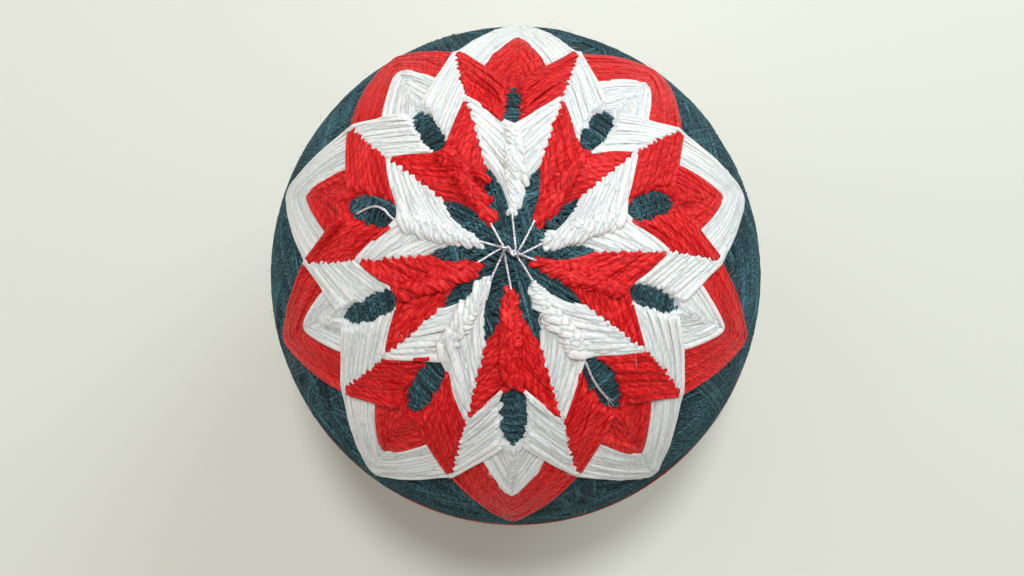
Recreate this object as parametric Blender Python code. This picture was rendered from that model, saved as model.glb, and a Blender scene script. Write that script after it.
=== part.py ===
"""Temari ball: a wound thread ball with a stitched ten-petal kiku star on each half and a red obi.

Frame: +Z runs up through the upper star's centre, the origin is the middle of the resting face.
Places on the ball are given by a polar angle from the star's centre and an angle off a petal line.
White stitches have their petals on the white lines, red ones on the red lines halfway between.
"""
import math

import bmesh
import bpy
from mathutils import Vector
from mathutils.geometry import delaunay_2d_cdt

# Wound ball
BALL_RADIUS = 0.040
CENTRE_HEIGHT = 0.0407  # the lower stitches are pressed flat by the ball's weight
OUT_OF_ROUND = 0.009  # the ball is a little longer along Y than along X
BALL_SEGMENTS = 42
BALL_RINGS = 10
GROOVE_DEPTH = 0.0005
GROOVE_HALF_ANGLE = 5.2

# Obi band round the equator
OBI_HALF_ANGLE = 4.7
OBI_INNER = 0.0398
OBI_EDGE = 0.0404
OBI_CROWN = 0.0407
OBI_SEGMENTS = 48

# Petal lines, in degrees from +X
PETALS = 5
WHITE_LINE = 90.0
LINE_STEP = 72.0
HALF_STEP = 18.0  # a white and a red line are 36 degrees apart, with the middle line between

# Star, polar angles in degrees
SLIT_END = 17.4
NOTCH_INNER = 24.4
CROSS_INNER = 34.0
CROSS_OUTER = 50.5
CHEVRON_TIP = 55.7
PETAL_TIP = 69.5
PETAL_NOTCH = (42.9, 10.2)
INNER_ROWS = 9
OUTER_ROWS = 10
TIP_PLAIN = 1.8  # the last of each toothed border lies under a strip
BRAID_EDGE = ((5.3, 0.55), (6.4, 1.15), (9.0, 1.5), (12.5, 1.75), (15.2, 2.4))  # polar, mm to the side
BRAID_SPINE = (6.9, 9.2, 12.0, 15.2, 18.6, 21.8)
HOLE_EDGE = ((0.25, 0.88), (0.6, 1.0), (0.88, 0.72))  # share of the length, share of the width
HOLE_START = 0.14  # share of the way along the inner notch's side
EVEN_HOLE = (1.7, 37.2)  # half width in mm, polar angle of the outer end
HOLES = {  # petal line: half width in mm, polar angle of the outer end
    90: (1.05, 34.6), 162: (1.85, 38.2), 234: (1.8, 38.2), 306: (1.6, 37.2), 18: (1.75, 37.0),
    126: (1.3, 36.8), 198: (1.8, 39.0), 270: (1.8, 37.6), 342: (1.55, 36.8), 54: (1.5, 36.4),
}
TOOTH = 0.00032
STRIP_WIDTH = 0.0010
STRIP_INSET = 0.00022
STRIP_REACH = 0.0023

# Heights over the wound ball
GAP = 0.0003
LAYER_TOP = 0.00135
OUTER_TOP = 0.0011
EDGE_DROP = 0.0003
BRAID_CROWN = 0.00065
TIP_CROWN = 0.0003
UNDER_TOP = 0.0007
OVER_BOTTOM = 0.0010
OVER_TOP = 0.0016
CROSS_NEAR = 0.0013
CROSS_FAR = 0.0020
CROSS_LIFT = 0.0008  # the overlap's middle lies this far above the corner
MESH_STEP = 0.0036

# Hand-made unevenness of the upper star: its long axis, and how far lines and middle lines lean
LONG_SHARE = 0.040
LONG_AXIS = 88.0
LEAN = (  # angle round the star, lean at the inner corners, lean from the outer corners on
    (0, 2.1, 0.2), (18, 1.5, -0.3), (36, 3.5, 1.1), (54, 2.0, -0.6), (72, 1.0, 0.9),
    (90, 0.0, -0.9), (108, -1.7, -2.3), (126, -1.5, -4.5), (144, -1.1, -2.4), (162, 0.5, 0.5),
    (180, 1.5, 0.3), (198, 2.0, -0.8), (216, 2.5, 1.3), (234, 2.0, 0.9), (252, 1.7, 1.6),
    (270, 0.5, -0.2), (288, -0.1, -0.8), (306, 0.0, -1.5), (324, 0.9, -2.0), (342, 1.5, 1.0),
)

# Silver marking threads
SPOKE_END = 4.75
SPOKE_HALF_WIDTH = 0.00022
HUB_RADIUS = 0.0009
SPOKE_TOP = 0.0007
HUB_EDGE = 0.0009
HUB_TOP = 0.0011
RUN_RADIUS = 0.00022
RUN_WHITE_LEFT = ((26.3, 0.2), (28.4, -0.5), (30.6, -0.6), (32.6, -0.1), (34.0, 0.45))
RUN_WHITE_LOW = ((26.6, -0.3), (28.8, -0.5), (31.0, -0.35), (33.2, -0.15))


def unit(polar, azimuth):
    """Direction from the ball's centre, angles in degrees."""
    t, a = math.radians(polar), math.radians(azimuth)
    return Vector((math.sin(t) * math.cos(a), math.sin(t) * math.sin(a), math.cos(t)))


def aside(polar, line, offset):
    """Direction at a polar angle, a length to the left of a line."""
    ratio = math.sin(offset / BALL_RADIUS) / math.sin(math.radians(polar))
    return unit(polar, line + math.degrees(math.asin(ratio)))


def along(start, end, steps, first=0):
    """Directions along the shortest way over the ball, the last one left out."""
    return [start.slerp(end, k / steps) for k in range(first, steps)]


def flat(direction):
    """Plane coordinates in which the half ball is meshed."""
    polar = math.acos(max(-1.0, min(1.0, direction.z)))
    azimuth = math.atan2(direction.y, direction.x)
    return Vector((BALL_RADIUS * polar * math.cos(azimuth), BALL_RADIUS * polar * math.sin(azimuth)))


def unflat(point):
    """Direction of a plane point."""
    polar = point.length / BALL_RADIUS
    if polar < 1e-9:
        return Vector((0, 0, 1))
    return unit(math.degrees(polar), math.degrees(math.atan2(point.y, point.x)))


def uneven(direction):
    """Where a place of the even star lies on the hand-made one."""
    polar = math.degrees(math.acos(max(-1.0, min(1.0, direction.z))))
    azimuth = math.degrees(math.atan2(direction.y, direction.x)) % 360
    step = 360 / len(LEAN)
    row, share = int(azimuth / step) % len(LEAN), azimuth / step % 1
    here, after = LEAN[row], LEAN[(row + 1) % len(LEAN)]
    inner = here[1] + (after[1] - here[1]) * share
    outer = here[2] + (after[2] - here[2]) * share
    lean = inner * smooth(-12, 32, polar) + (outer - inner) * smooth(33, 52, polar)
    stretch = 1 + LONG_SHARE * math.cos(math.radians(2 * (azimuth - LONG_AXIS)))
    return unit(polar * stretch, azimuth + lean)


def distance(a, b):
    """Length over the ball between two directions."""
    return BALL_RADIUS * a.angle(b, 0.0)


def smooth(low, high, value):
    """0 below low, 1 above high, with a soft change between."""
    t = max(0.0, min(1.0, (value - low) / (high - low)))
    return t * t * (3 - 2 * t)


def turning(loop):
    """1 for a loop that runs counter-clockwise seen from outside, otherwise -1."""
    corners = [flat(p) for p in loop]
    area = sum(a.x * b.y - a.y * b.x for a, b in zip(corners, corners[1:] + corners[:1]))
    return 1 if area > 0 else -1


def inset(loop, amount):
    """Move each side of a closed loop of directions inwards, keeping the corners."""
    moved = []
    amount = amount * turning(loop)
    for before, here, after in zip(loop[-1:] + loop[:-1], loop, loop[1:] + loop[:1]):
        sides = []
        for run in (here - before, after - here):
            sides.append(here.cross(run).normalized())
        turn = max(0.35, 1 + sides[0].dot(sides[1]))
        step = (sides[0] + sides[1]) * (amount / BALL_RADIUS / turn)
        moved.append((here + step).normalized())
    return moved


def middle_line(side, start, end, rows, up):
    """Border on the middle line, toothed where rows of the two stars take turns on top, plain if up is 0."""
    if up == 0:
        return [unit(start + (end - start) * k / 3, side * HALF_STEP) for k in range(4)]
    points = []
    for row in range(rows):
        for half, way in ((0.25, up), (0.75, -up)):
            polar = start + (end - start) * (row + half) / rows
            points.append(aside(polar, side * HALF_STEP, side * way * TOOTH))
    return points


def mirrored(right, centre_first, centre_last):
    """Close a half outline with its mirror image about the line at angle 0."""
    left = [Vector((p.x, -p.y, p.z)) for p in reversed(right)]
    return [centre_first] * bool(centre_first) + right + [centre_last] * bool(centre_last) + left


def arrowhead(up):
    """Inner braid and its two arms, from near the centre out to the notch."""
    half = [aside(polar, 0, mm / 1000) for polar, mm in BRAID_EDGE]
    half += middle_line(1, SLIT_END, CROSS_INNER - TIP_PLAIN, INNER_ROWS - 1, up)
    half += along(unit(CROSS_INNER, HALF_STEP), unit(NOTCH_INNER, 0), 4)
    return mirrored(half, None, unit(NOTCH_INNER, 0))


def eye(up, hole):
    """Stitches round an open hole, with the toothed sides and the inner chevron's tip."""
    notch, corner = unit(NOTCH_INNER, 0), unit(CROSS_INNER, HALF_STEP)
    width, end = hole
    half = []
    for length_share, width_share in reversed(HOLE_EDGE):
        polar = NOTCH_INNER + (end - NOTCH_INNER) * length_share
        half.append(aside(polar, 0, width * width_share / 1000))
    half += along(notch.slerp(corner, HOLE_START * width / EVEN_HOLE[0]), corner, 4)
    half += [corner] + middle_line(1, CROSS_INNER + 0.4, CROSS_OUTER - TIP_PLAIN, OUTER_ROWS - 1, up)
    half += along(unit(CROSS_OUTER, HALF_STEP), unit(*PETAL_NOTCH), 3)
    half += along(unit(*PETAL_NOTCH), unit(CHEVRON_TIP, 0), 4)
    return mirrored(half, unit(end, 0), unit(CHEVRON_TIP, 0))


def petal_band():
    """Outer rows of a petal, a chevron from corner to corner."""
    half = along(unit(CHEVRON_TIP, 0), unit(*PETAL_NOTCH), 4, 1)
    half += along(unit(*PETAL_NOTCH), unit(CROSS_OUTER, HALF_STEP), 3)
    half += along(unit(CROSS_OUTER, HALF_STEP), unit(PETAL_TIP, 0), 6)
    return mirrored(half, unit(CHEVRON_TIP, 0), unit(PETAL_TIP, 0))


def strip(before, corner, after, side):
    """Last row of a band where it crosses the middle line, seen from the petal line at angle 0."""
    reach = STRIP_REACH / BALL_RADIUS
    start = corner.slerp(before, reach / corner.angle(before))
    end = corner.slerp(after, reach / corner.angle(after))
    path = [start, corner, end]
    runs = (corner - start, end - start, end - corner)
    edges = []
    for offset in (STRIP_INSET, STRIP_INSET + STRIP_WIDTH):
        shifts = [p.cross(run).normalized() * (side * offset / BALL_RADIUS) for p, run in zip(path, runs)]
        edges.append([(p + shift).normalized() for p, shift in zip(path, shifts)])
    return edges[0] + edges[1][::-1]


def strips():
    """Both crossing strips on each side of a petal line."""
    loops = []
    for side in (1, -1):
        inner_corner = unit(CROSS_INNER, side * HALF_STEP)
        notch = unit(NOTCH_INNER, 0)
        beyond = (inner_corner + (inner_corner - notch) * 0.5).normalized()
        loops.append(strip(notch, inner_corner, beyond, side))
        outer_corner = unit(CROSS_OUTER, side * HALF_STEP)
        next_notch = unit(PETAL_NOTCH[0], side * (2 * HALF_STEP - PETAL_NOTCH[1]))
        loops.append(strip(unit(PETAL_TIP, 0), outer_corner, next_notch, side))
    return loops


def crossings():
    """Middles of the places where a white strip runs over a red one."""
    lift = math.degrees(CROSS_LIFT / BALL_RADIUS)
    lines = [WHITE_LINE + HALF_STEP + 2 * HALF_STEP * k for k in range(2 * PETALS)]
    return [unit(polar - lift, line) for line in lines for polar in (CROSS_INNER, CROSS_OUTER)]


def line_offset(direction, first_line):
    """Distance to the nearest petal line of a set, in metres."""
    azimuth = math.degrees(math.atan2(direction.y, direction.x)) - first_line
    off = (azimuth + LINE_STEP / 2) % LINE_STEP - LINE_STEP / 2
    return abs(math.sin(math.radians(off)) * math.hypot(direction.x, direction.y)) * BALL_RADIUS


def surface_height(direction, first_line):
    """Top of the stitched layer over the ball, away from the crossings."""
    polar = math.degrees(math.acos(direction.z))
    height = LAYER_TOP + (OUTER_TOP - LAYER_TOP) * smooth(40, 50, polar)
    off = line_offset(direction, first_line)
    braid = smooth(8, 19, polar) * (1 - smooth(23.5, 27, polar))
    tip = smooth(38, 44, polar) * (1 - 0.5 * smooth(60, 69, polar))
    height += BRAID_CROWN * braid * math.exp(-((off / 0.0024) ** 2))
    height += TIP_CROWN * tip * math.exp(-((off / 0.0016) ** 2))
    return height


def inside(point, loop):
    """Whether a plane point lies within a loop."""
    hit = False
    for a, b in zip(loop, loop[1:] + loop[:1]):
        if (a.y > point.y) != (b.y > point.y):
            if point.x < (b.x - a.x) * (point.y - a.y) / (b.y - a.y) + a.x:
                hit = not hit
    return hit


def clear_of(point, loops, least):
    """Whether a plane point keeps its distance from every side of the loops."""
    for loop in loops:
        for a, b in zip(loop, loop[1:] + loop[:1]):
            run = b - a
            t = max(0.0, min(1.0, (point - a).dot(run) / run.length_squared))
            if (point - a - run * t).length < least:
                return False
    return True


def inner_points(loops, spine):
    """Mesh points of one petal: a row along its line, then an even mesh mirrored about the line."""
    points = [flat(unit(polar, 0)) for polar in spine]
    rows = int(1.25 * BALL_RADIUS / (MESH_STEP * 0.866)) + 1
    for row in range(rows):
        for column in range(12):
            point = Vector((row * MESH_STEP * 0.866, (column + 0.5 * (row % 2)) * MESH_STEP))
            if not any(inside(point, loop) for loop in loops):
                continue
            if any((point - other).length < MESH_STEP * 0.6 for other in points[:len(spine)]):
                continue
            if clear_of(point, loops, MESH_STEP * 0.45):
                points.append(point)
                if point.y > 0:
                    points.append(Vector((point.x, -point.y)))
    return points


def turned(points, angle):
    """Plane points turned about the star's centre."""
    c, s = math.cos(math.radians(angle)), math.sin(math.radians(angle))
    return [Vector((c * p.x - s * p.y, s * p.x + c * p.y)) for p in points]


def stitched_region(first_line, up):
    """Mesh one colour's stitches in the plane: arrowheads and bands on its own lines, eyes between."""
    own = [inset(loop, GAP / 2) for loop in (arrowhead(up), petal_band())] + strips()
    loops, free = [], []
    for k in range(PETALS):
        angle = first_line + k * LINE_STEP
        hole = HOLES[(angle + LINE_STEP / 2) % 360] if up else EVEN_HOLE
        between = [inset(eye(-up, hole), GAP / 2)]
        groups = ((own, angle, BRAID_SPINE), (between, angle + LINE_STEP / 2, ()))
        for group, turn, spine in groups:
            flats = [[flat(p) for p in loop] for loop in group]
            loops += [turned(loop, turn) for loop in flats]
            free += turned(inner_points(flats, spine), turn)
    points, edges = list(free), []
    for loop in loops:
        start = len(points)
        points += loop
        edges += [(start + k, start + (k + 1) % len(loop)) for k in range(len(loop))]
    verts, _, faces, *_ = delaunay_2d_cdt(points, edges, [], 0, 1e-7)
    kept = []
    for face in faces:
        middle = (verts[face[0]] + verts[face[1]] + verts[face[2]]) / 3
        if any(inside(middle, loop) for loop in loops):
            kept.append(tuple(face))
    return verts, kept


def layer(first_line, up, over):
    """Lower and upper points and faces of one colour's stitches on the upper half."""
    verts, faces = stitched_region(first_line, up)
    used = sorted({v for face in faces for v in face})
    index = {v: k for k, v in enumerate(used)}
    counts = {}
    for face in faces:
        for a, b in zip(face, face[1:] + face[:1]):
            counts[(a, b)] = counts.get((a, b), 0) + 1
    border = [(a, b) for a, b in counts if (b, a) not in counts]
    rim = {v for edge in border for v in edge}
    places = crossings()
    lower, upper = [], []
    for v in used:
        direction = unflat(verts[v])
        near = min(distance(direction, place) for place in places)
        share = 1 - smooth(CROSS_NEAR, CROSS_FAR, near)
        top = surface_height(direction, first_line) - (EDGE_DROP if v in rim else 0)
        bottom = GAP
        if over:
            bottom += (OVER_BOTTOM - GAP) * share
            top += (OVER_TOP - (EDGE_DROP / 2 if v in rim else 0) - top) * share
        else:
            top += (UNDER_TOP - top) * share
        place = uneven(direction) if up else direction
        lower.append(place * (BALL_RADIUS + bottom))
        upper.append(place * (BALL_RADIUS + top))
    count = len(used)
    faces = [tuple(index[v] for v in face) for face in faces]
    solid = [tuple(v + count for v in face) for face in faces] + [face[::-1] for face in faces]
    for a, b in border:
        solid.append((index[a], index[b], index[b] + count, index[a] + count))
    return lower + upper, solid


def placed(points, down):
    """Move points from the ball's centre into the part's frame, pressed flat at the resting face."""
    sign = -1 if down else 1
    wide, long = 1 - OUT_OF_ROUND, 1 + OUT_OF_ROUND
    return [Vector((p.x * wide, p.y * long, max(0.0, CENTRE_HEIGHT + sign * p.z))) for p in points]


def make_object(name, points, faces, colour, roughness, metallic=0.0):
    """One closed body with its own material."""
    mesh = bpy.data.meshes.new(name)
    mesh.from_pydata([tuple(p) for p in points], [], faces)
    bm = bmesh.new()
    bm.from_mesh(mesh)
    bmesh.ops.triangulate(bm, faces=[f for f in bm.faces if len(f.verts) > 3])
    bmesh.ops.recalc_face_normals(bm, faces=bm.faces)
    bm.to_mesh(mesh)
    bm.free()
    mesh.shade_smooth()
    mesh.set_sharp_from_angle(angle=math.radians(50))
    material = bpy.data.materials.new(name)
    material.use_nodes = True
    shader = material.node_tree.nodes["Principled BSDF"]
    shader.inputs["Base Color"].default_value = (*colour, 1.0)
    shader.inputs["Roughness"].default_value = roughness
    shader.inputs["Metallic"].default_value = metallic
    mesh.materials.append(material)
    item = bpy.data.objects.new(name, mesh)
    bpy.context.scene.collection.objects.link(item)
    return item


def lathe(profile, segments, closed):
    """Turn a profile of (polar angle, radius) pairs about the ball's axis."""
    points, faces = [], []
    rings = []
    for polar, radius in profile:
        if 0 < polar < 180:
            rings.append(list(range(len(points), len(points) + segments)))
            points += [unit(polar, 360 * k / segments) * radius for k in range(segments)]
        else:
            rings.append([len(points)])
            points.append(unit(polar, 0) * radius)
    pairs = list(zip(rings, rings[1:])) + ([(rings[-1], rings[0])] if closed else [])
    for a, b in pairs:
        for k in range(segments):
            quad = [a[k % len(a)], b[k % len(b)], b[(k + 1) % len(b)], a[(k + 1) % len(a)]]
            faces.append(tuple(dict.fromkeys(quad)))
    return points, faces


def ball_profile():
    """Wound ball with a shallow groove where the obi presses into it."""
    start = 90 - GROOVE_HALF_ANGLE
    upper = [(start * k / BALL_RINGS, BALL_RADIUS) for k in range(BALL_RINGS)]
    upper += [(start, BALL_RADIUS), (start + 0.4, BALL_RADIUS - GROOVE_DEPTH)]
    lower = [(180 - polar, radius) for polar, radius in reversed(upper)]
    return upper + [(90, BALL_RADIUS - GROOVE_DEPTH)] + lower


def obi_profile():
    """Cross section of the obi, outside first."""
    outside = []
    for k in range(5):
        share = k / 2 - 1
        rise = (1 - share ** 4) * (OBI_CROWN - OBI_EDGE)
        outside.append((90 + share * OBI_HALF_ANGLE, OBI_EDGE + rise))
    return outside + [(90 + OBI_HALF_ANGLE, OBI_INNER), (90 - OBI_HALF_ANGLE, OBI_INNER)]


def marking(down):
    """Silver marking threads crossing at a star's centre, one spoke to each petal line."""
    hub = math.degrees(HUB_RADIUS / BALL_RADIUS)
    outline = []
    for k in range(2 * PETALS):
        line = WHITE_LINE + 2 * HALF_STEP * k
        outline.append((unit(hub, line - HALF_STEP), HUB_EDGE))
        for polar, side, top in ((hub * 1.15, -1, HUB_EDGE), (SPOKE_END, -1, SPOKE_TOP),
                                 (SPOKE_END, 1, SPOKE_TOP), (hub * 1.15, 1, HUB_EDGE)):
            outline.append((aside(polar, line, side * SPOKE_HALF_WIDTH), top))
    count = len(outline)
    points = [d * (BALL_RADIUS + GAP) for d, _ in outline]
    points += [d * (BALL_RADIUS + top) for d, top in outline]
    points += [unit(0, 0) * (BALL_RADIUS + GAP), unit(0, 0) * (BALL_RADIUS + HUB_TOP)]
    faces = []
    for k in range(count):
        after = (k + 1) % count
        faces.append((k, after, after + count, k + count))
        faces.append((after, k, 2 * count))
        faces.append((k + count, after + count, 2 * count + 1))
    return placed(points, down), faces


def marking_run(line, places, sides=6):
    """Loose length of marking thread that shows in an eye's hole."""
    height = BALL_RADIUS + GAP + RUN_RADIUS
    path = [uneven(aside(polar, line, mm / 1000)) * height for polar, mm in places]
    points, faces = [], []
    for k, here in enumerate(path):
        run = (path[min(k + 1, len(path) - 1)] - path[max(k - 1, 0)]).normalized()
        out = here.normalized()
        across = run.cross(out)
        for s in range(sides):
            angle = 2 * math.pi * s / sides
            points.append(here + (across * math.cos(angle) + out * math.sin(angle)) * RUN_RADIUS)
    for k in range(len(path) - 1):
        for s in range(sides):
            a, b = k * sides + s, k * sides + (s + 1) % sides
            faces.append((a, b, b + sides, a + sides))
    faces.append(tuple(range(sides)))
    faces.append(tuple(len(points) - 1 - s for s in range(sides)))
    return placed(points, False), faces


TEAL = (0.018, 0.060, 0.078)
RED = (0.62, 0.020, 0.024)
WHITE = (0.80, 0.79, 0.76)
SILVER = (0.72, 0.71, 0.69)

for item in list(bpy.data.objects):
    bpy.data.objects.remove(item, do_unlink=True)

points, faces = lathe(ball_profile(), BALL_SEGMENTS, closed=False)
make_object("wound_ball", placed(points, False), faces, TEAL, 0.85)
points, faces = lathe(obi_profile(), OBI_SEGMENTS, closed=True)
make_object("obi_band", placed(points, False), faces, RED, 0.75)
for half, down, teeth in (("upper", False, 1), ("lower", True, 0)):
    points, faces = layer(WHITE_LINE, teeth, over=True)
    make_object("white_stitches_" + half, placed(points, down), faces, WHITE, 0.6)
    points, faces = layer(WHITE_LINE + LINE_STEP / 2, -teeth, over=False)
    make_object("red_stitches_" + half, placed(points, down), faces, RED, 0.65)
    points, faces = marking(down)
    make_object("marking_threads_" + half, points, faces, SILVER, 0.3, 0.9)
points, faces = marking_run(162, RUN_WHITE_LEFT)
make_object("marking_run_left", points, faces, SILVER, 0.3, 0.9)
points, faces = marking_run(306, RUN_WHITE_LOW)
make_object("marking_run_low", points, faces, SILVER, 0.3, 0.9)
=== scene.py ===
"""Temari ball, dressed: every thread of the two stars, the wound ground, the obi and the marking threads.

The camera looks down on the upper star. Lengths of the thread work are in millimetres and angles in
degrees until a mesh is made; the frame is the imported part's, in metres.
"""

import math

import bpy
import numpy as np
from mathutils import Matrix, Vector


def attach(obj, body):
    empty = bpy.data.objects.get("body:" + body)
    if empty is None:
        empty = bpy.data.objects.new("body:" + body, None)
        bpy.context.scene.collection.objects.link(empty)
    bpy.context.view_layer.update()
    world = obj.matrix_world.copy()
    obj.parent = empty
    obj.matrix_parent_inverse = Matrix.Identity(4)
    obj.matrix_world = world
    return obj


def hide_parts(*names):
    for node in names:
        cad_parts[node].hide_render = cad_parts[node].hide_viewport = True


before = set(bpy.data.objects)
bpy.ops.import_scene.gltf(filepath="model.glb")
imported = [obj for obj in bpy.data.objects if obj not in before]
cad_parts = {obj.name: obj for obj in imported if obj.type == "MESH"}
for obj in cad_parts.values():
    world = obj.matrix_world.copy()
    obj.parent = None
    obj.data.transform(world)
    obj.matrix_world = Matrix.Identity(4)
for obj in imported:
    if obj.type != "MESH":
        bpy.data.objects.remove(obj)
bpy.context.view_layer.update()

# Ball, as in the part
BALL = 40.0
CENTRE = 40.7
WIDE, LONG = 0.991, 1.009
OBI_HALF_ANGLE = 4.7
FLOOR_GAP = 0.02  # threads under the ball stay this far above the floor

# Petal lines; those of the two stars take turns
PETALS = 5
LINE_STEP = 72.0
HALF_STEP = 18.0
STAR_WHITE_TIPS, STAR_RED_TIPS = 0, 1
START_LINE = (234.0, 198.0)  # first petal of a row of either star

# Rows of a star, counted outwards, and polar angles of their edges
INNER_ROWS = 9
ROWS = 19
SLIT_END, CROSS_INNER, CROSS_OUTER = 17.4, 33.6, 50.3
CROSSING_FIRST, CROSSING_LAST = 6.9, 24.3
CHEVRON_FIRST, CHEVRON_TIP, PETAL_TIP = 37.0, 54.7, 69.2
NOTCH_BULGE = 0.67  # sideways bow of a row between its tip and the middle line, mm
NOTCH_SHARE = 0.62  # share of that way at which the bow is greatest
BRAID_PULL = 0.5  # the first rows are drawn this far together in the braids, mm
BRAID_ROWS = 5
NEAR_CENTRE = {342: -1.9}  # petal line: how much nearer to the centre its first strands end
NEAR_FADE = (1.3, 0.4)  # share of that at row 0, and what each row takes off it
TAILS = (0.8, 1.45, 1.7, 1.85, 2.0, 2.1, 2.1, 2.0, 1.95, 1.9)  # sideways reach over the line, mm, rows 0 to 9
TAIL_UNDER = 0.65  # share of that reach on the side that lies below
TAIL_SLANT = 32  # angle between the tail and its line at row 0
TAIL_LEAST = 3.4  # polar angle of the innermost tail
TIP_TAIL = 0.9  # how far two crossing strands run past the tip, mm
JOINED_FROM = 5  # from this row on the thread turns round the tip in one sweep
TURN_SHARP, TURN_ROUND = 0.5, 0.95  # how softly rows turn, mm, at the inner rows and the outer ones
TURN_ROWS = (8.5, 15)
TURN_CUT = 0.62  # share of that which a turn takes off the tip
ROUND_TIPS = {  # petal line: turn of its outer rows, if not TURN_ROUND
    18: 1.5, 54: 1.6, 90: 1.5, 126: 1.5, 198: 1.3, 234: 0.85, 270: 0.65, 306: 0.6,
}
STRANDS = (-0.75, -0.25)  # the needle carries a doubled thread, two strands to each row
PINCH = 0.78  # the two strands of a row draw together where they cross the other star

# Holes on the petal lines
NOTCH_INNER = 24.4  # polar angle of their inner end
HOLE_EDGE = np.array(((0.0, 0.55), (0.1, 0.9), (0.3, 1.0), (0.8, 0.95), (1.0, 0.6)))  # way along, width
HOLE_REACH = 6.0  # how far from a petal line the strands round its hole are pushed aside, mm
HOLE_MARGIN = 0.4  # degrees from the hole's inner end to the first strand at its side
HOLE_TIP = 0.7  # how far beyond the hole's end strands are still parted
HOLE_ROUND, HOLE_NARROWS = 0.62, 0.38  # shares of its length where it keeps its width, and narrows
HOLE_SLACK = 1.02
HOLE_ROWS = 4  # rows whose tips follow their own hole's length
EVEN_HOLE = (1.4, 37.2)
HOLES = {  # petal line: half width in mm, polar angle of the outer end
    90: (0.8, 33.9), 162: (1.5, 38.2), 234: (1.45, 38.2), 306: (1.35, 38.0), 18: (1.35, 37.0),
    126: (0.9, 36.8), 198: (1.15, 39.5), 270: (1.45, 37.6), 342: (1.05, 37.4), 54: (1.3, 36.6),
}

# Hand-made unevenness of the upper star
LONG_SHARE = 0.040
LONG_AXIS = 88.0
LEAN_INNER, LEAN_OUTER = (-12, 32), (33, 52)  # polar angles between which each lean sets in
ROW_LOOSE, STRAND_LOOSE = 0.10, 0.05  # spread of rows and of strands about their even place
RADIUS_LOOSE = 0.05
LEAN = np.array((  # angle round the star, lean at the inner corners, lean from the outer corners on
    (0, 2.1, 0.2), (18, 1.5, -0.3), (36, 3.5, 1.1), (54, 2.0, -0.6), (72, 1.0, 0.9),
    (90, 0.0, -0.9), (108, -1.7, -2.3), (126, -1.5, -4.5), (144, -1.1, -2.4), (162, 0.5, 0.5),
    (180, 1.5, 0.3), (198, 2.0, -0.8), (216, 2.5, 1.3), (234, 2.0, 0.9), (252, 1.7, 1.6),
    (270, 0.5, -0.2), (288, -0.1, -0.8), (306, 0.0, -1.5), (324, 0.9, -2.0), (342, 1.5, 1.0),
    (360, 2.1, 0.2),
))

# Threads, radii in mm
STITCH_LEAST, STITCH_MOST = 0.20, 0.42
CROWDING = 0.74  # radius of a strand for each mm between it and the next
WOUND = 0.33
MARKING = 0.21
LOOSE_PLY = 0.07
OBI_THREAD = 0.32
STRAND_WIDE, STRAND_HIGH = 1.52, 0.46  # soft strands spread to fill the gaps between them
LONGEST = 2.4  # most between two rings of a tube, mm
TUBE_END = 0.1  # radius of a tube's last ring, as a share
THREAD_LENGTH, SILVER_LENGTH = 900, 90  # tubes start anywhere in a thread of this length, mm

# Loose fibres
FIBRE = 0.020  # radius, mm
FIBRE_ALONG, FIBRE_ACROSS = 0.8, 0.7  # spread of their ways
FIBRE_LENGTHS = 0.4  # spread of their lengths
FIBRE_BEND, FIBRE_DROP = 0.35, 0.3
FIBRE_CLEAR = 0.05  # none nearer to the floor than this, mm
STITCH_FIBRES = (1000, 0.9, 0.18)  # as Fuzz.threads takes them
WOUND_FIBRES = (1400, 1.1, 0.30)

# Laying threads on each other, in mm
PATH_STEP = 0.3
CELL = 0.13
FIELD = 54.0  # half the width of the height map
CELLS = int(2 * FIELD / CELL) + 1
FOOT = 0.75  # share of its radius by which a thread rises over the cells it rests on
ON_TOP, ON_AVERAGE = 0.55, 0.45  # it rests partly on the highest cell, partly on all
RESTS, SINKS = 0.60, 0.18  # its middle's usual and least height over them, in radii
STIFF = 1.1  # length over which a thread bridges hollows
BURIED = 0.3  # depth of a strand's end in the ball
SINK, HOLE_SINK, TIP_SINK = 1.6, 0.8, 0.45  # length over which a strand's end goes down
END_THIN, THICKENS = 0.55, 0.45  # radius of a strand's end, and what it gains further in, as shares
PRESSED = 0.62  # how far a laid thread rises for each mm of its radius
HIDDEN_BY = 0.1  # a cell of a thread under this much of others is hidden

# Marking threads: plane places and heights in mm, lines in the order of laying
KNOTS = ((-0.80, 0.50), (0.52, -0.32))
KNOT_LOOSE = 0.10
SPOKE_LINES = (306.0, 18.0, 90.0, 162.0, 234.0)
SPOKE_REACH = 5.3
SPOKE_SEEDS = {True: 41, False: 43}  # for the upper half and the lower
SPOKE_HEIGHT = 0.16
SPOKE_RESTS, SPOKE_PRESSED = 0.9, 0.8  # as RESTS and PRESSED
FINE_STEP = 0.12


def smooth(low, high, value):
    """0 below low, 1 above high, with a soft change between."""
    t = np.clip((value - low) / (high - low), 0.0, 1.0)
    return t * t * (3 - 2 * t)


def unit(polar, azimuth):
    """Directions from the ball's centre."""
    t, a = np.radians(polar), np.radians(azimuth)
    return np.stack([np.sin(t) * np.cos(a), np.sin(t) * np.sin(a), np.cos(t) + 0 * a], axis=-1)


def angles(directions):
    """Polar angle and azimuth of directions."""
    polar = np.degrees(np.arccos(np.clip(directions[..., 2], -1, 1)))
    return polar, np.degrees(np.arctan2(directions[..., 1], directions[..., 0])) % 360


def lean(polar, azimuth):
    """How far the hand-made star turns away from the even one."""
    inner = np.interp(azimuth, LEAN[:, 0], LEAN[:, 1])
    outer = np.interp(azimuth, LEAN[:, 0], LEAN[:, 2])
    return inner * smooth(*LEAN_INNER, polar) + (outer - inner) * smooth(*LEAN_OUTER, polar)


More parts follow.
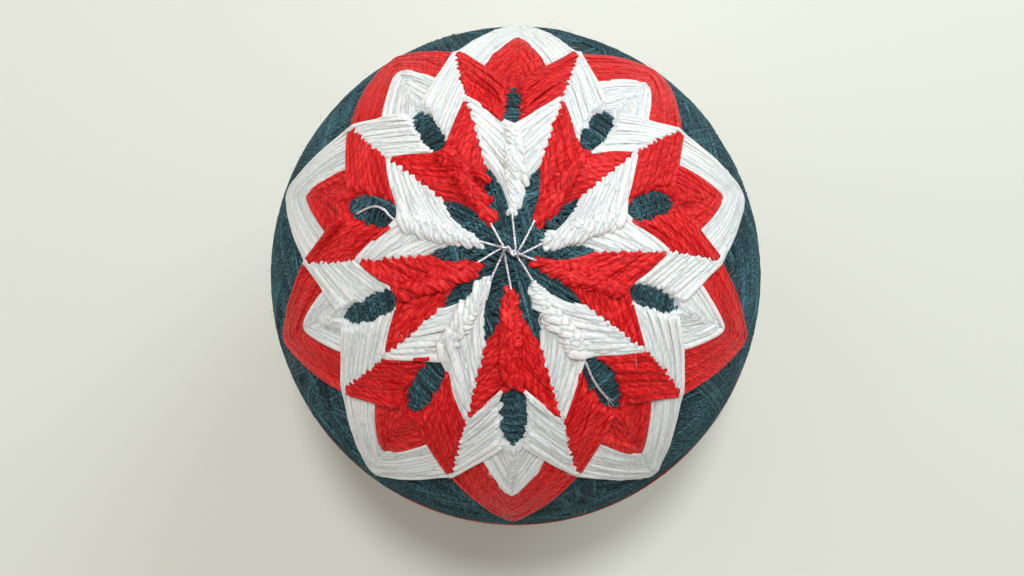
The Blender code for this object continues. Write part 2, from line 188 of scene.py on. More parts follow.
def stretch(azimuth):
    """How much farther the hand-made star reaches than the even one."""
    return 1 + LONG_SHARE * np.cos(np.radians(2 * (azimuth - LONG_AXIS)))


def uneven(directions):
    """Where places of the even star lie on the hand-made one."""
    polar, azimuth = angles(directions)
    return unit(polar * stretch(azimuth), azimuth + lean(polar, azimuth))


def even(directions):
    """The places of the even star that uneven() brings to these directions."""
    polar, azimuth = angles(directions)
    p, a = polar, azimuth
    for _ in range(4):
        a = (azimuth - lean(p, a)) % 360
        p = polar / stretch(a)
    return unit(p, a)


def plane(directions):
    """Plane coordinates in mm: true distances from the star's centre."""
    polar, azimuth = angles(directions)
    reach = np.radians(polar) * BALL
    a = np.radians(azimuth)
    return np.stack([reach * np.cos(a), reach * np.sin(a)], axis=-1)


def unplane(points):
    """Directions of plane coordinates."""
    reach = np.hypot(points[..., 0], points[..., 1])
    return unit(np.degrees(reach / BALL), np.degrees(np.arctan2(points[..., 1], points[..., 0])))


def aside(polar, line, offset):
    """Direction at a polar angle, a length in mm to the left of a line."""
    turn = math.asin(math.sin(offset / BALL) / math.sin(math.radians(polar)))
    return unit(polar, line + math.degrees(turn))


def outward(directions, upper, hand_made=True):
    """Directions from the ball's centre in the part's frame."""
    if upper:
        return uneven(directions) if hand_made else directions
    return directions * (1, 1, -1)


def framed(points):
    """Points round the ball's centre brought to the part's frame, in mm."""
    return points * (WIDE, LONG, 1) + (0, 0, CENTRE)


def place(directions, heights, upper, hand_made=True):
    """Points at a height over the ball in the part's frame, in mm."""
    return framed(outward(directions, upper, hand_made) * (BALL + heights)[..., None])


# Laying threads on each other

def foot(radius):
    """Cells within the greatest radius of a thread, and the rise of its surface over each."""
    most = float(np.max(radius))
    reach = int(most / CELL) + 1
    steps = np.array([(i, j) for i in range(-reach, reach + 1) for j in range(-reach, reach + 1)
                      if math.hypot(i, j) * CELL <= most])
    rise = np.sqrt(np.maximum(0, radius[:, None] ** 2 - (steps ** 2).sum(axis=1)[None] * CELL ** 2))
    return steps, rise


def spots(path, steps):
    """Cells of the height map at some steps from each point of a path."""
    cells = np.rint((path + FIELD) / CELL).astype(int)[:, None, :] + steps[None]
    cells = np.clip(cells, 0, CELLS - 1)
    return cells[..., 0], cells[..., 1]


def blurred(values, width):
    """Running average along a path, with its ends held."""
    reach = max(1, int(round(2 * width)))
    weights = np.exp(-0.5 * (np.arange(-reach, reach + 1) / width) ** 2)
    weights /= weights.sum()
    before, after = (np.repeat(end, reach, axis=0) for end in (values[:1], values[-1:]))
    padded = np.concatenate([before, values, after])
    if values.ndim == 1:
        return np.convolve(padded, weights, "valid")
    return np.stack([np.convolve(padded[:, k], weights, "valid") for k in range(values.shape[1])], axis=1)


def lay(ground, path, radius, sinks):
    """Heights of a thread's middle when it is pulled over what lies there; raises the ground."""
    steps, rise = foot(radius)
    rows, columns = spots(path, steps)
    carries = rise > FOOT * radius[:, None]
    under = np.where(carries, ground[rows, columns], 0.0)
    base = ON_TOP * under.max(axis=1) + ON_AVERAGE * under.sum(axis=1) / carries.sum(axis=1)
    middle = base + RESTS * radius
    middle = np.maximum(blurred(middle, STIFF / PATH_STEP), base + SINKS * radius)
    length = np.arange(len(path)) * PATH_STEP
    for sink, run in zip(sinks, (length, length[::-1])):
        if sink > 0:
            share = smooth(0, sink, run)
            middle = middle * share - BURIED * (1 - share)
    np.maximum.at(ground, (rows, columns), np.where(rise > 0, middle[:, None] + PRESSED * rise, 0.0))
    return middle


def arc(a, b, count):
    """Directions along the shortest way from a to b, the last one left out."""
    angle = math.acos(max(-1.0, min(1.0, float(a @ b))))
    t = np.arange(count) / count
    return (np.sin((1 - t) * angle)[:, None] * a + np.sin(t * angle)[:, None] * b) / math.sin(angle)


def on_ball(path):
    """A path with every point at length 1."""
    return path / np.linalg.norm(path, axis=1)[:, None]


def pulled(path, amount, peak=0.5):
    """Bow a path sideways, by an amount in mm at its peak."""
    across = np.cross(path[0], path[-1])
    across /= np.linalg.norm(across)
    t = np.arange(len(path)) / (len(path) - 1)
    bow = np.where(t < peak, t / peak, (1 - t) / (1 - peak))
    return on_ball(path + across * (amount / BALL * np.sin(bow * math.pi / 2))[:, None])


def even_steps(path):
    """The same path with a point every PATH_STEP."""
    runs = np.linalg.norm(np.diff(path, axis=0), axis=1) * BALL
    total = np.concatenate([[0], np.cumsum(runs)])
    count = max(4, int(total[-1] / PATH_STEP))
    at = np.linspace(0, total[-1], count)
    return on_ball(np.stack([np.interp(at, total, path[:, k]) for k in range(3)], axis=1))


def row_places(at):
    """Polar angles at a place counted in rows: outer tip, middle line, inner end.

    Of the outer rows, the inner end is a share of the hole's length."""
    if at <= INNER_ROWS:
        share = at / INNER_ROWS
        return (CHEVRON_FIRST + (CHEVRON_TIP - CHEVRON_FIRST) * share,
                SLIT_END + (CROSS_INNER - SLIT_END) * share,
                CROSSING_FIRST + (CROSSING_LAST - CROSSING_FIRST) * share)
    share = (at - INNER_ROWS) / (ROWS - INNER_ROWS)
    return (CHEVRON_TIP + (PETAL_TIP - CHEVRON_TIP) * share,
            CROSS_INNER + (CROSS_OUTER - CROSS_INNER) * share, share)


def parted(path, hole):
    """Strands of a petal line at angle 0 pushed aside by the hole on it."""
    width, end = hole
    polar, azimuth = angles(path)
    azimuth = np.radians(np.where(azimuth > 180, azimuth - 360, azimuth))
    offset = np.arcsin(np.sin(np.radians(polar)) * np.sin(azimuth)) * BALL
    share = (polar - NOTCH_INNER) / (end + HOLE_TIP - NOTCH_INNER)
    round_end = np.sqrt(np.clip(1 - (np.clip(share - HOLE_ROUND, 0, 1) / HOLE_NARROWS) ** 2, 0, 1))
    side = HOLE_SLACK * width * round_end * smooth(0.0, 0.3, share)
    pushed = np.where(offset < HOLE_REACH, side + offset * (1 - side / HOLE_REACH), offset)
    turn = np.degrees(np.arcsin(np.clip(np.sin(pushed / BALL) / np.sin(np.radians(polar)), -1, 1)))
    return unit(polar, turn)


def arm(at, hole, own_hole, over, softness, loose):
    """One side of a row, from its petal line at angle 0 to its inner end, where the angle grows.

    loose moves the tip, the middle and the inner end in degrees, then the tail and the hole's edge."""
    tip, middle, inner = row_places(at)
    centre = math.floor(at) + 0.5
    middle = row_places(centre + (at - centre) * PINCH)[1]
    tip += (own_hole[1] - EVEN_HOLE[1]) * max(0.0, 1 - at / HOLE_ROWS)
    if at > JOINED_FROM:
        tip += math.degrees(TURN_CUT * softness / BALL)
    start = unit(tip + loose[0], 0)
    corner = unit(middle + loose[1], HALF_STEP)
    share = at / INNER_ROWS if at <= INNER_ROWS else (ROWS - at) / (ROWS - INNER_ROWS)
    outer = pulled(arc(start, corner, 60), -NOTCH_BULGE * share, NOTCH_SHARE)
    if at <= INNER_ROWS:
        outer = parted(outer, own_hole)
        cross = unit(inner + loose[2], 2 * HALF_STEP)
        inward = pulled(arc(corner, cross, 40), -BRAID_PULL * max(0.0, 1 - at / BRAID_ROWS))
        reach = np.interp(at, range(INNER_ROWS + 1), TAILS) * (1 if over else TAIL_UNDER) + 2 * loose[3]
        back = inner - math.degrees(reach / math.tan(math.radians(TAIL_SLANT + at)) / BALL)
        tail_end = aside(max(back + loose[2], TAIL_LEAST), 2 * HALF_STEP, reach)
        return np.concatenate([outer, inward, arc(cross, tail_end, 12), tail_end[None]])
    width, end = hole
    polar = NOTCH_INNER + HOLE_MARGIN + (end - NOTCH_INNER - HOLE_MARGIN) * inner
    side = width * float(np.interp(inner, HOLE_EDGE[:, 0], HOLE_EDGE[:, 1])) + 2 * loose[4]
    dive = aside(polar, 2 * HALF_STEP, -side)
    return np.concatenate([outer, arc(corner, dive, 40), dive[None]])


def petal_paths(at, holes, over, loose, outer_turn=TURN_ROUND):
    """A row's way round a petal at angle 0, from the lower side to the upper: one path, or two that cross.

    holes and over are those of the lower and the upper side; holes[2] is the petal's own."""
    softness = TURN_SHARP + (outer_turn - TURN_SHARP) * float(smooth(*TURN_ROWS, at))
    low = arm(at, holes[0], holes[2], over[0], softness, loose[0]) * (1, -1, 1)
    high = arm(at, holes[1], holes[2], over[1], softness, loose[1])
    if at > JOINED_FROM:
        ways = [np.concatenate([low[::-1], high[1:]])]
    else:
        tip = low[0]
        past = TIP_TAIL / BALL
        ends = [tip + (tip - way[6]) / np.linalg.norm(tip - way[6]) * past for way in (low, high)]
        ways = [np.concatenate([low[::-1], ends[0][None]]), np.concatenate([ends[1][None], high])]
    ways = [blurred(even_steps(way), softness / PATH_STEP) for way in ways]
    return [on_ball(way) for way in ways]


def strand_radii():
    """Radius along each strand of the even star, from how close its neighbours run."""
    still = np.zeros((2, 5))
    holes = (EVEN_HOLE,) * 3
    table = {}
    for row in range(1, ROWS + 1):
        for strand in STRANDS:
            at = row + strand
            own = petal_paths(at, holes, (True, True), still)
            pitch = []
            for side in (-0.5, 0.5):
                if 0 < at + side < ROWS:
                    beside = np.concatenate(petal_paths(at + side, holes, (True, True), still))
                    pitch.append([np.sqrt(((way[:, None] - beside[None]) ** 2).sum(axis=2)).min(axis=1)
                                  for way in own])
            means = [sum(gaps) / len(pitch) * BALL for gaps in zip(*pitch)]
            table[at] = [blurred(np.clip(CROWDING * mean, STITCH_LEAST, STITCH_MOST), 4) for mean in means]
    return table


def turned(directions, angle):
    """Directions turned about the star's axis."""
    x, y, z = directions[:, 0], directions[:, 1], directions[:, 2]
    c, s = math.cos(math.radians(angle)), math.sin(math.radians(angle))
    return np.stack([c * x - s * y, s * x + c * y, z], axis=1)


def stitch_order():
    """(star, row) in the order of stitching; the very last row has white tips."""
    order = [(star, row) for row in range(1, ROWS) for star in (STAR_WHITE_TIPS, STAR_RED_TIPS)]
    return order + [(STAR_RED_TIPS, ROWS), (STAR_WHITE_TIPS, ROWS)]


def stitched(upper, seed, table):
    """Every strand of a half: colour, path, heights and radii. Also its spokes and its height map."""
    chance = np.random.default_rng(seed)
    ground = np.zeros((CELLS, CELLS))
    spokes = laid_spokes(ground, SPOKE_SEEDS[upper])
    strands = []
    for star, row in stitch_order():
        colour = "red" if (row <= INNER_ROWS) == (star == STAR_WHITE_TIPS) else "white"
        for petal in range(PETALS):
            line = START_LINE[star] + petal * LINE_STEP
            sides = [round(line + side * 2 * HALF_STEP) % 360 for side in (-1, 1, 0)]
            holes = [HOLES[side] if upper else EVEN_HOLE for side in sides]
            over = (petal > 0, petal == PETALS - 1)
            outer_turn = ROUND_TIPS.get(sides[2], TURN_ROUND) if upper else TURN_ROUND
            loose = chance.normal(0, ROW_LOOSE, (2, 5)) if upper else np.zeros((2, 5))
            for strand in STRANDS:
                at = row + strand
                own = loose + chance.normal(0, STRAND_LOOSE, (2, 5))
                if upper:
                    share = max(0.0, NEAR_FADE[0] - NEAR_FADE[1] * row)
                    own[:, 2] += [NEAR_CENTRE.get(side, 0.0) * share for side in sides[:2]]
                ways = petal_paths(at, holes, over, own, outer_turn)
                end = SINK if row <= INNER_ROWS else HOLE_SINK
                sinks = [(end, end)] if len(ways) == 1 else [(end, TIP_SINK), (TIP_SINK, end)]
                for way, radii, sink in zip(ways, table[at], sinks):
                    path = turned(way, line)
                    spread = np.interp(np.linspace(0, 1, len(path)), np.linspace(0, 1, len(radii)), radii)
                    spread = spread * float(chance.normal(1.0, RADIUS_LOOSE))
                    along = np.arange(len(path)) * PATH_STEP
                    taper = np.minimum(smooth(0, sink[0], along), smooth(0, sink[1], along[::-1]))
                    spread = spread * (END_THIN + THICKENS * taper)
                    heights = lay(ground, plane(path), spread, sink)
                    strands.append((colour, path, heights, spread))
    return strands, spokes, ground


def curve_through(points, step):
    """Smooth plane curve through points, with a point about every step."""
    points = np.asarray(points, float)
    padded = np.concatenate([[2 * points[0] - points[1]], points, [2 * points[-1] - points[-2]]])
    out = []
    for k in range(len(points) - 1):
        a, b, c, d = padded[k:k + 4]
        count = max(2, int(np.linalg.norm(c - b) / step))
        t = (np.arange(count) / count)[:, None]
        out.append(0.5 * (2 * b + (c - a) * t + (2 * a - 5 * b + 4 * c - d) * t ** 2
                          + (3 * b - a - 3 * c + d) * t ** 3))
    return np.concatenate(out + [points[-1:]])


def laid_spokes(ground, seed):
    """Silver marking threads: lines laid one by one that cross at two knots beside the centre."""
    chance = np.random.default_rng(seed)
    spokes = []
    for line in SPOKE_LINES:
        ends = [SPOKE_REACH * np.array((math.cos(t), math.sin(t))) for t in np.radians((line, line + 180))]
        ends.sort(key=lambda p: p[0])
        knots = [np.array(k) + chance.normal(0, KNOT_LOOSE, 2) for k in KNOTS]
        route = curve_through([ends[0], *knots, ends[1]], FINE_STEP)
        steps, rise = foot(np.full(len(route), MARKING))
        rows, columns = spots(route, steps)
        base = np.maximum(ground[rows, columns].max(axis=1), SPOKE_HEIGHT)
        middle = blurred(base, 3) + SPOKE_RESTS * MARKING
        top = np.where(rise > 0, middle[:, None] + SPOKE_PRESSED * rise, 0.0)
        np.maximum.at(ground, (rows, columns), top)
        spokes.append((unplane(route), middle))
    return spokes


def shown(ground, path, heights, radius):
    """Which points of a thread can be seen from outside."""
    steps, rise = foot(radius)
    rows, columns = spots(plane(path), steps)
    clear = (ground[rows, columns] - (heights[:, None] + PRESSED * rise) < HIDDEN_BY) & (rise > 0)
    seen = clear.sum(axis=1) >= 2
    for _ in range(2):
        seen = seen | np.roll(seen, 1) | np.roll(seen, -1)
    return seen


def runs(seen, least=4):
    """Start and end of each run of true values."""
    edges = np.flatnonzero(np.diff(np.concatenate([[0], seen.astype(int), [0]])))
    return [(a, b) for a, b in edges.reshape(-1, 2) if b - a >= least]


# Meshes

def linked(name, data):
    """A new object in the scene."""
    item = bpy.data.objects.new(name, data)
    bpy.context.scene.collection.objects.link(item)
    return item


class Threads:
    """Tubes of thread for one mesh, with the way along each kept for its material."""

    def __init__(self, sides, floor=None):
        self.sides, self.floor = sides, floor
        self.points, self.quads, self.uvs = [], [], []
        self.count = 0

    def add(self, centres, up, radius, start=0.0, flatten=0.85, widen=1.0):
        """One tube in mm; up points away from the ball, start is the tube's place in its thread."""
        centres = np.asarray(centres, float)
        count, sides = len(centres), self.sides
        radius = np.broadcast_to(np.asarray(radius, float), (count,)).copy()
        radius[0] *= TUBE_END
        radius[-1] *= TUBE_END
        run = np.gradient(centres, axis=0)
        run /= np.linalg.norm(run, axis=1)[:, None] + 1e-12
        across = np.cross(run, up)
        across /= np.linalg.norm(across, axis=1)[:, None] + 1e-12
        out = np.cross(across, run)
        turn = 2 * np.pi * np.arange(sides) / sides
        rings = (centres[:, None] + radius[:, None, None] * (
            across[:, None] * (widen * np.cos(turn))[None, :, None]
            + out[:, None] * (flatten * np.sin(turn))[None, :, None]))
        if self.floor is not None:
            rings[..., 2] = np.maximum(rings[..., 2], self.floor)
        index = self.count + np.arange(count * sides).reshape(count, sides)
        after = np.roll(index, -1, axis=1)
        quads = np.stack([index[:-1], after[:-1], after[1:], index[1:]], axis=-1).reshape(-1, 4)
        length = start + np.concatenate([[0], np.cumsum(np.linalg.norm(np.diff(centres, axis=0), axis=1))])
        u = np.arange(sides + 1) / sides
        uv = np.empty((count - 1, sides, 4, 2))
        uv[..., 0, 0] = uv[..., 3, 0] = u[:-1][None]
        uv[..., 1, 0] = uv[..., 2, 0] = u[1:][None]
        uv[..., 0, 1] = uv[..., 1, 1] = length[:-1, None]
        uv[..., 2, 1] = uv[..., 3, 1] = length[1:, None]
        self.points.append(rings.reshape(-1, 3))
        self.quads.append(quads)
        self.uvs.append(uv.reshape(-1, 2))
        self.count += count * sides

    def object(self, name, material):
        """The mesh object of all tubes."""
        points, quads = np.concatenate(self.points) / 1000, np.concatenate(self.quads)
        mesh = bpy.data.meshes.new(name)
        mesh.vertices.add(len(points))
        mesh.vertices.foreach_set("co", points.ravel())
        mesh.loops.add(quads.size)
        mesh.loops.foreach_set("vertex_index", quads.ravel().astype(np.int32))
        mesh.polygons.add(len(quads))
        mesh.polygons.foreach_set("loop_start", (4 * np.arange(len(quads))).astype(np.int32))
        layer = mesh.uv_layers.new(name="thread")
        layer.data.foreach_set("uv", np.concatenate(self.uvs).ravel())
        mesh.update()
        mesh.validate()
        mesh.shade_smooth()
        mesh.materials.append(material)
        return linked(name, mesh)


class Fuzz:
    """Short loose fibres that stand out of the threads."""

    def __init__(self, seed):
        self.chance = np.random.default_rng(seed)
        self.places, self.up, self.along = [], [], []

    def offer(self, centres, up, radius):
        """Places on a thread where fibres may start."""
        if len(centres) < 5:
            return
        centres, up, radius = centres[1:-1], up[1:-1], radius[1:-1]
        along = np.gradient(centres, axis=0)
        along /= np.linalg.norm(along, axis=1)[:, None] + 1e-12
        self.places.append(centres + up * np.reshape(radius, (-1, 1)) * 0.5)
        self.up.append(up)
        self.along.append(along)

    def threads(self, count, length, rise):
        """A mesh of fibres: their number, usual length in mm and how steeply they stand."""
        chance = self.chance
        places, up, along = (np.concatenate(v) for v in (self.places, self.up, self.along))
        work = Threads(3)
        t = np.linspace(0, 1, 4)[:, None]
        for k in chance.choice(len(places), count, replace=False):
            across = np.cross(along[k], up[k])
            way = along[k] * chance.normal(0, FIBRE_ALONG) + across * chance.normal(0, FIBRE_ACROSS)
            way = way / (np.linalg.norm(way) + 1e-6) + up[k] * abs(chance.normal(rise, rise))
            reach = length * math.exp(chance.normal(0, FIBRE_LENGTHS))
            bend = along[k] * chance.normal() + across * chance.normal() - up[k] * FIBRE_DROP
            path = places[k] + reach * (way * t + bend * FIBRE_BEND * t ** 2)
            if path[:, 2].min() > FIBRE_CLEAR:
                work.add(path, np.repeat(up[k][None], 4, axis=0), FIBRE,
                         float(chance.uniform(0, THREAD_LENGTH)))
        return work


def well_placed(centres, slack, longest):
    """Indices of the points a tube needs so that it strays from its path by about slack mm at most."""
    if len(centres) < 5:
        return np.arange(len(centres))
    run = np.gradient(centres, axis=0)
    speed = np.linalg.norm(run, axis=1) + 1e-9
    run /= speed[:, None]
    bend = blurred(np.linalg.norm(np.gradient(blurred(run, 1.5), axis=0), axis=1) / speed, 1.5)
    need = np.cumsum(speed * (np.sqrt(bend / (8 * slack)) + 1 / longest))
    count = max(2, int(math.ceil(need[-1] - need[0])) + 1)
    return np.unique(np.searchsorted(need, np.linspace(need[0], need[-1], count)))


def dress_star(upper, seed, sides, slack, table):
    """Threads and fuzz of a half's red and white stitches, its silver threads and its height map."""
    strands, spokes, ground = stitched(upper, seed, table)
    chance = np.random.default_rng(seed + 1)
    gap = None if upper else FLOOR_GAP
    work = {"red": Threads(sides, gap), "white": Threads(sides, gap)}
    fuzz = {"red": Fuzz(seed + 2), "white": Fuzz(seed + 3)}
    for colour, path, heights, radius in strands:
        seen = shown(ground, path, heights, radius)
        start = float(chance.uniform(0, THREAD_LENGTH))
        for first, last in runs(seen):
            part = np.arange(first, last)
            keep = part[well_placed(place(path[part], heights[part], upper), slack, LONGEST)]
            up = outward(path[keep], upper)
            centres = place(path[keep], heights[keep], upper)
            work[colour].add(centres, up, radius[keep], start + first * PATH_STEP, STRAND_HIGH, STRAND_WIDE)
            fuzz[colour].offer(centres, up, radius[keep])
    silver = Threads(8, None if upper else FLOOR_GAP / 2)
    for directions, heights in spokes:
        silver.add(place(directions, heights, upper, False), outward(directions, upper, False), MARKING,
                   float(chance.uniform(0, SILVER_LENGTH)), 1.0)
    return work, fuzz, silver, ground


# Materials

class Look:
    """A material and the nodes that feed its shader."""

    def __init__(self, name):
        self.material = bpy.data.materials.new(name)
        self.material.use_nodes = True
        self.tree = self.material.node_tree
        self.shader = self.tree.nodes["Principled BSDF"]

    def feed(self, node, values):
        """Give the sockets of a node numbers, colours or the outputs of other nodes."""
        for socket, value in values.items():
            if isinstance(value, bpy.types.NodeSocket):
                self.tree.links.new(value, node.inputs[socket])
            else:
                node.inputs[socket].default_value = value
        return node

    def add(self, kind, values=None):
        """A new node."""
        return self.feed(self.tree.nodes.new("ShaderNode" + kind), values or {})

    def math(self, operation, *values):
        """Result of a calculation."""
        node = self.add("Math")
        node.operation = operation
        return self.feed(node, dict(enumerate(values))).outputs[0]

    def noise(self, scale, place, kind="3D", detail=2.0, roughness=0.5):
        """Noise over places, or along a length."""
        node = self.add("TexNoise", {"Scale": scale, "Detail": detail, "Roughness": roughness})
        node.noise_dimensions = kind
        return self.feed(node, {"Vector" if kind == "3D" else "W": place}).outputs[0]

    def colours(self, tone, first, last, between=()):
        """Colour of the shader from a tone: tone and colour of each stop."""
        node = self.add("ValToRGB", {0: tone})
        stops = node.color_ramp.elements
        for stop, (position, colour) in zip(stops, (first, last)):
            stop.position, stop.color = position, (*colour, 1)
        for position, colour in between:
            stops.new(position).color = (*colour, 1)
        self.feed(self.shader, {"Base Color": node.outputs[0]})

    def relief(self, height, strength, distance):
        """Bumps of the shader; the distance is in mm."""
        node = self.add("Bump", {"Strength": strength, "Distance": distance / 1000, "Height": height})
        self.feed(self.shader, {"Normal": node.outputs[0]})


def thread_material(name, dark, base, light, turn, plies, bump, roughness, sheen, tint, metallic=0.0,
                    fibre=0.8, subsurface=0.0, ply_shade_and_relief=0.28, drift=0.3, light_fibres_and_glints=0.0, gloss=0.3):
    """Plied thread: stripes of its twist, painted shade in the grooves between plies, and fine fibres, read
    from the way round and along it.

    turn is the length of a twist and bump the relief's depth, in mm. ply_shade_and_relief, fibre, drift and
    light_fibres_and_glints are how far plies, fibres, slow changes and bright specks move the tone: the plies
    paint shade into their grooves, and the specks are lighter fibres with painted glints.
    ply_shade_and_relief also sets the plies' share of the relief."""
    look = Look(name)
    thread = look.add("UVMap")
    thread.uv_map = "thread"
    around, along = look.add("SeparateXYZ", {0: thread.outputs[0]}).outputs[:2]
    phase = look.math("MULTIPLY_ADD", around, float(plies), look.math("MULTIPLY", along, plies / turn))
    phase = look.math("ADD", phase, look.math("MULTIPLY", look.noise(0.35, along, "1D"), 2.2))
    ply = look.math("ABSOLUTE", look.math("SINE", look.math("MULTIPLY", phase, math.pi)))
    drawn_out = look.add("CombineXYZ", {0: look.math("MULTIPLY", phase, 5.0),
                                        1: look.math("MULTIPLY", along, 0.55)}).outputs[0]
    fibres = look.noise(1.6, drawn_out, detail=4.0, roughness=0.65)
    where = look.add("TexCoord").outputs["Object"]
    tone = 0.5
    # The ply term paints shade into the grooves between the plies; the other terms vary the tone at random.
    for value, middle, share in ((ply, 0.64, ply_shade_and_relief), (fibres, 0.5, fibre),
                                 (look.noise(160.0, where), 0.5, 0.25),
                                 (look.noise(0.03, along, "1D"), 0.5, drift)):
        tone = look.math("MULTIPLY_ADD", look.math("SUBTRACT", value, middle), share, tone)
    # Bright specks on the tone: lighter fibres and painted glints of light.
    if light_fibres_and_glints:
        glints = look.math("SUBTRACT", look.noise(3800.0, where), 0.55)
        tone = look.math("ADD", tone, look.math("MULTIPLY", look.math("MAXIMUM", glints, 0.0), light_fibres_and_glints))
    look.colours(tone, (0.22, dark), (0.85, light), ((0.5, base),))
    look.relief(look.math("MULTIPLY_ADD", ply, ply_shade_and_relief, look.math("MULTIPLY", fibres, 1.2)), 0.8, bump)
    look.feed(look.shader, {
        "Roughness": look.math("MULTIPLY_ADD", fibres, 0.25, roughness - 0.12),
        "Metallic": metallic,
        "Sheen Weight": sheen,
        "Sheen Roughness": 0.45,
        "Sheen Tint": (*tint, 1),
        "Specular IOR Level": gloss,
    })
    if subsurface:
        look.feed(look.shader, {
            "Subsurface Weight": subsurface,
            "Subsurface Radius": (0.9, 0.55, 0.45),
            "Subsurface Scale": 0.0006,
        })
    return look.material


threads = {
    # Red: its light stop is painted sheen, the lighter streaks along its fibres.
    "red": thread_material(
        "red_thread", (0.28, 0.001, 0.002), (0.54, 0.002, 0.005), (0.92, 0.055, 0.055),
        turn=3.4, plies=2, bump=0.09, roughness=0.42, sheen=0.0, tint=(1.0, 0.35, 0.3),
        fibre=1.2, subsurface=0.12, gloss=0.17),
    "white": thread_material(
        "white_thread", (0.62, 0.60, 0.59), (0.71, 0.695, 0.69), (0.81, 0.805, 0.815),
        turn=3.4, plies=2, bump=0.09, roughness=0.5, sheen=0.10, tint=(1, 1, 1),
        subsurface=0.45, gloss=0.4),
    # Teal: its light stop shows lighter fibres and painted glints.
    "teal": thread_material(
        "teal_thread", (0.001, 0.004, 0.007), (0.005, 0.022, 0.031), (0.09, 0.24, 0.29),
        turn=2.6, plies=3, bump=0.12, roughness=0.75, sheen=0.12, tint=(0.22, 0.58, 0.70),
        fibre=1.25, ply_shade_and_relief=0.2, drift=0.6, light_fibres_and_glints=1.2),
    # Silver: its dark stop paints shade into the grooves of its plies.
    "silver": thread_material(
        "silver_thread", (0.20, 0.20, 0.24), (0.60, 0.60, 0.66), (0.97, 0.97, 1.0),
        turn=0.55, plies=2, bump=0.06, roughness=0.25, sheen=0.0, tint=(1, 1, 1),
        metallic=0.95, fibre=1.5, ply_shade_and_relief=0.5),
}


def ball_material():
    """Deep windings under the outer threads."""
    look = Look("wound_ground")
    turns = look.noise(700.0, look.add("TexCoord").outputs["Object"], detail=5.0)
    look.colours(turns, (0.35, (0.003, 0.011, 0.016)), (0.75, (0.012, 0.040, 0.050)))
    look.relief(turns, 0.9, 0.3)
    look.feed(look.shader, {"Roughness": 0.9})
    return look.material


# Wound ground: bands of parallel turns in many directions, the last ones on top

BANDS = 110
BAND_TURNS = (4, 9)
BAND_ASIDE = 0.05  # of their middles from a great circle, radians
TURN_STEP = 0.60
RING_STEP = 0.5
RING_WOBBLE = 0.005  # radians
RING_LIFT, RING_SPREAD = 0.03, 0.08  # spread of the windings' heights in mm, and of their radii
KEPT_STEPS = 6
LAYERS = 2  # a winding under this many others is left out
VOXEL = 0.7
ROOM = 1.1  # half of the counted space, in radii of the ball
GROUND_LOW, GROUND_HIGH = -0.50, -0.06
CORE_DEPTH = 0.4
COVERED, DEEP = 0.2, 0.45  # stitches of this height cover the ball, and hide it
COVER_SHIFTS = (1, 2, 4)
TUCK = (3, 6)  # cells that windings run on under the stitches' edges
EQUATOR_LAP = 0.01  # windings run on past the equator's plane by this share of the radius
PUFF, PUFF_ENDS = 0.35, (38, 46)  # windings rise, mm, in the holes up to these polar angles
OBI_GROOVE = 0.35
RIB_STEP = 1.18  # windings lie bunched in ribs across the holes
RIB, RIB_SPREAD = 0.27, 0.10  # radius, mm
RIBS_BEFORE, RIBS_BEYOND = 0.9, 2.4  # degrees of ribs before a hole, and beyond its length in all
RIB_BESIDE, RIB_DIVES = 1.5, 1.3  # how far a rib runs, and shows, beyond the hole's side
RIB_SLANT, RIB_SWAY = 0.10, 0.10
CROWN, CROWN_MORE = 0.26, 0.30  # height of the ribs' middles, and what they gain half way along the hole
RIB_SINK = 0.15
BUNCH = ((-0.29, -0.20), (0.0, 0.06), (0.29, -0.20))  # threads of a rib: along the hole, up


def cover(ground):
    """Share of the ball near each cell that is under stitches."""
    covered = (ground > COVERED).astype(float)
    for _ in range(3):
        spread = covered.copy()
        for shift in COVER_SHIFTS:
            for axis in (0, 1):
                spread += np.roll(covered, shift, axis) + np.roll(covered, -shift, axis)
        covered = spread / (1 + 4 * len(COVER_SHIFTS))
    return covered


def buried(ground):
    """Cells with stitches all round them."""
    covered = ground > DEEP
    inside = covered.copy()
    for shift in TUCK:
        for down in (-shift, 0, shift):
            for right in (-shift, 0, shift):
                inside &= np.roll(covered, (down, right), (0, 1))
    return inside


def looked_up(table, directions):
    """Value of a plane table in each direction of a half ball."""
    return table[spots(plane(directions), np.zeros((1, 2), int))][:, 0]


def wound_rings():
    """Windings from the lowest to the top one: directions, height and radius."""
    chance = np.random.default_rng(5)
    count = int(2 * math.pi * BALL / RING_STEP)
    turn = 2 * np.pi * np.arange(count + 1) / count
    rings = []
    for band in range(BANDS):
        axis = chance.normal(size=3)
        axis /= np.linalg.norm(axis)
        first = np.cross(axis, (0.3, 0.5, 0.8))
        first /= np.linalg.norm(first)
        second = np.cross(axis, first)
        height = GROUND_LOW + (GROUND_HIGH - GROUND_LOW) * band / BANDS
        turns = int(chance.integers(*BAND_TURNS))
        middle = chance.normal(0, BAND_ASIDE)
        for k in range(turns):
            shift = middle + (k - (turns - 1) / 2) * TURN_STEP / BALL
            wobble = shift + RING_WOBBLE * np.sin(turn * chance.integers(1, 4) + chance.uniform(0, 6))
            ring = (np.cos(turn)[:, None] * first + np.sin(turn)[:, None] * second) * np.cos(wobble)[:, None]
            ring = ring + axis * np.sin(wobble)[:, None]
            rings.append((ring, height + chance.normal(0, RING_LIFT), WOUND * chance.normal(1, RING_SPREAD),
                          float(chance.uniform(0, THREAD_LENGTH))))
    return rings


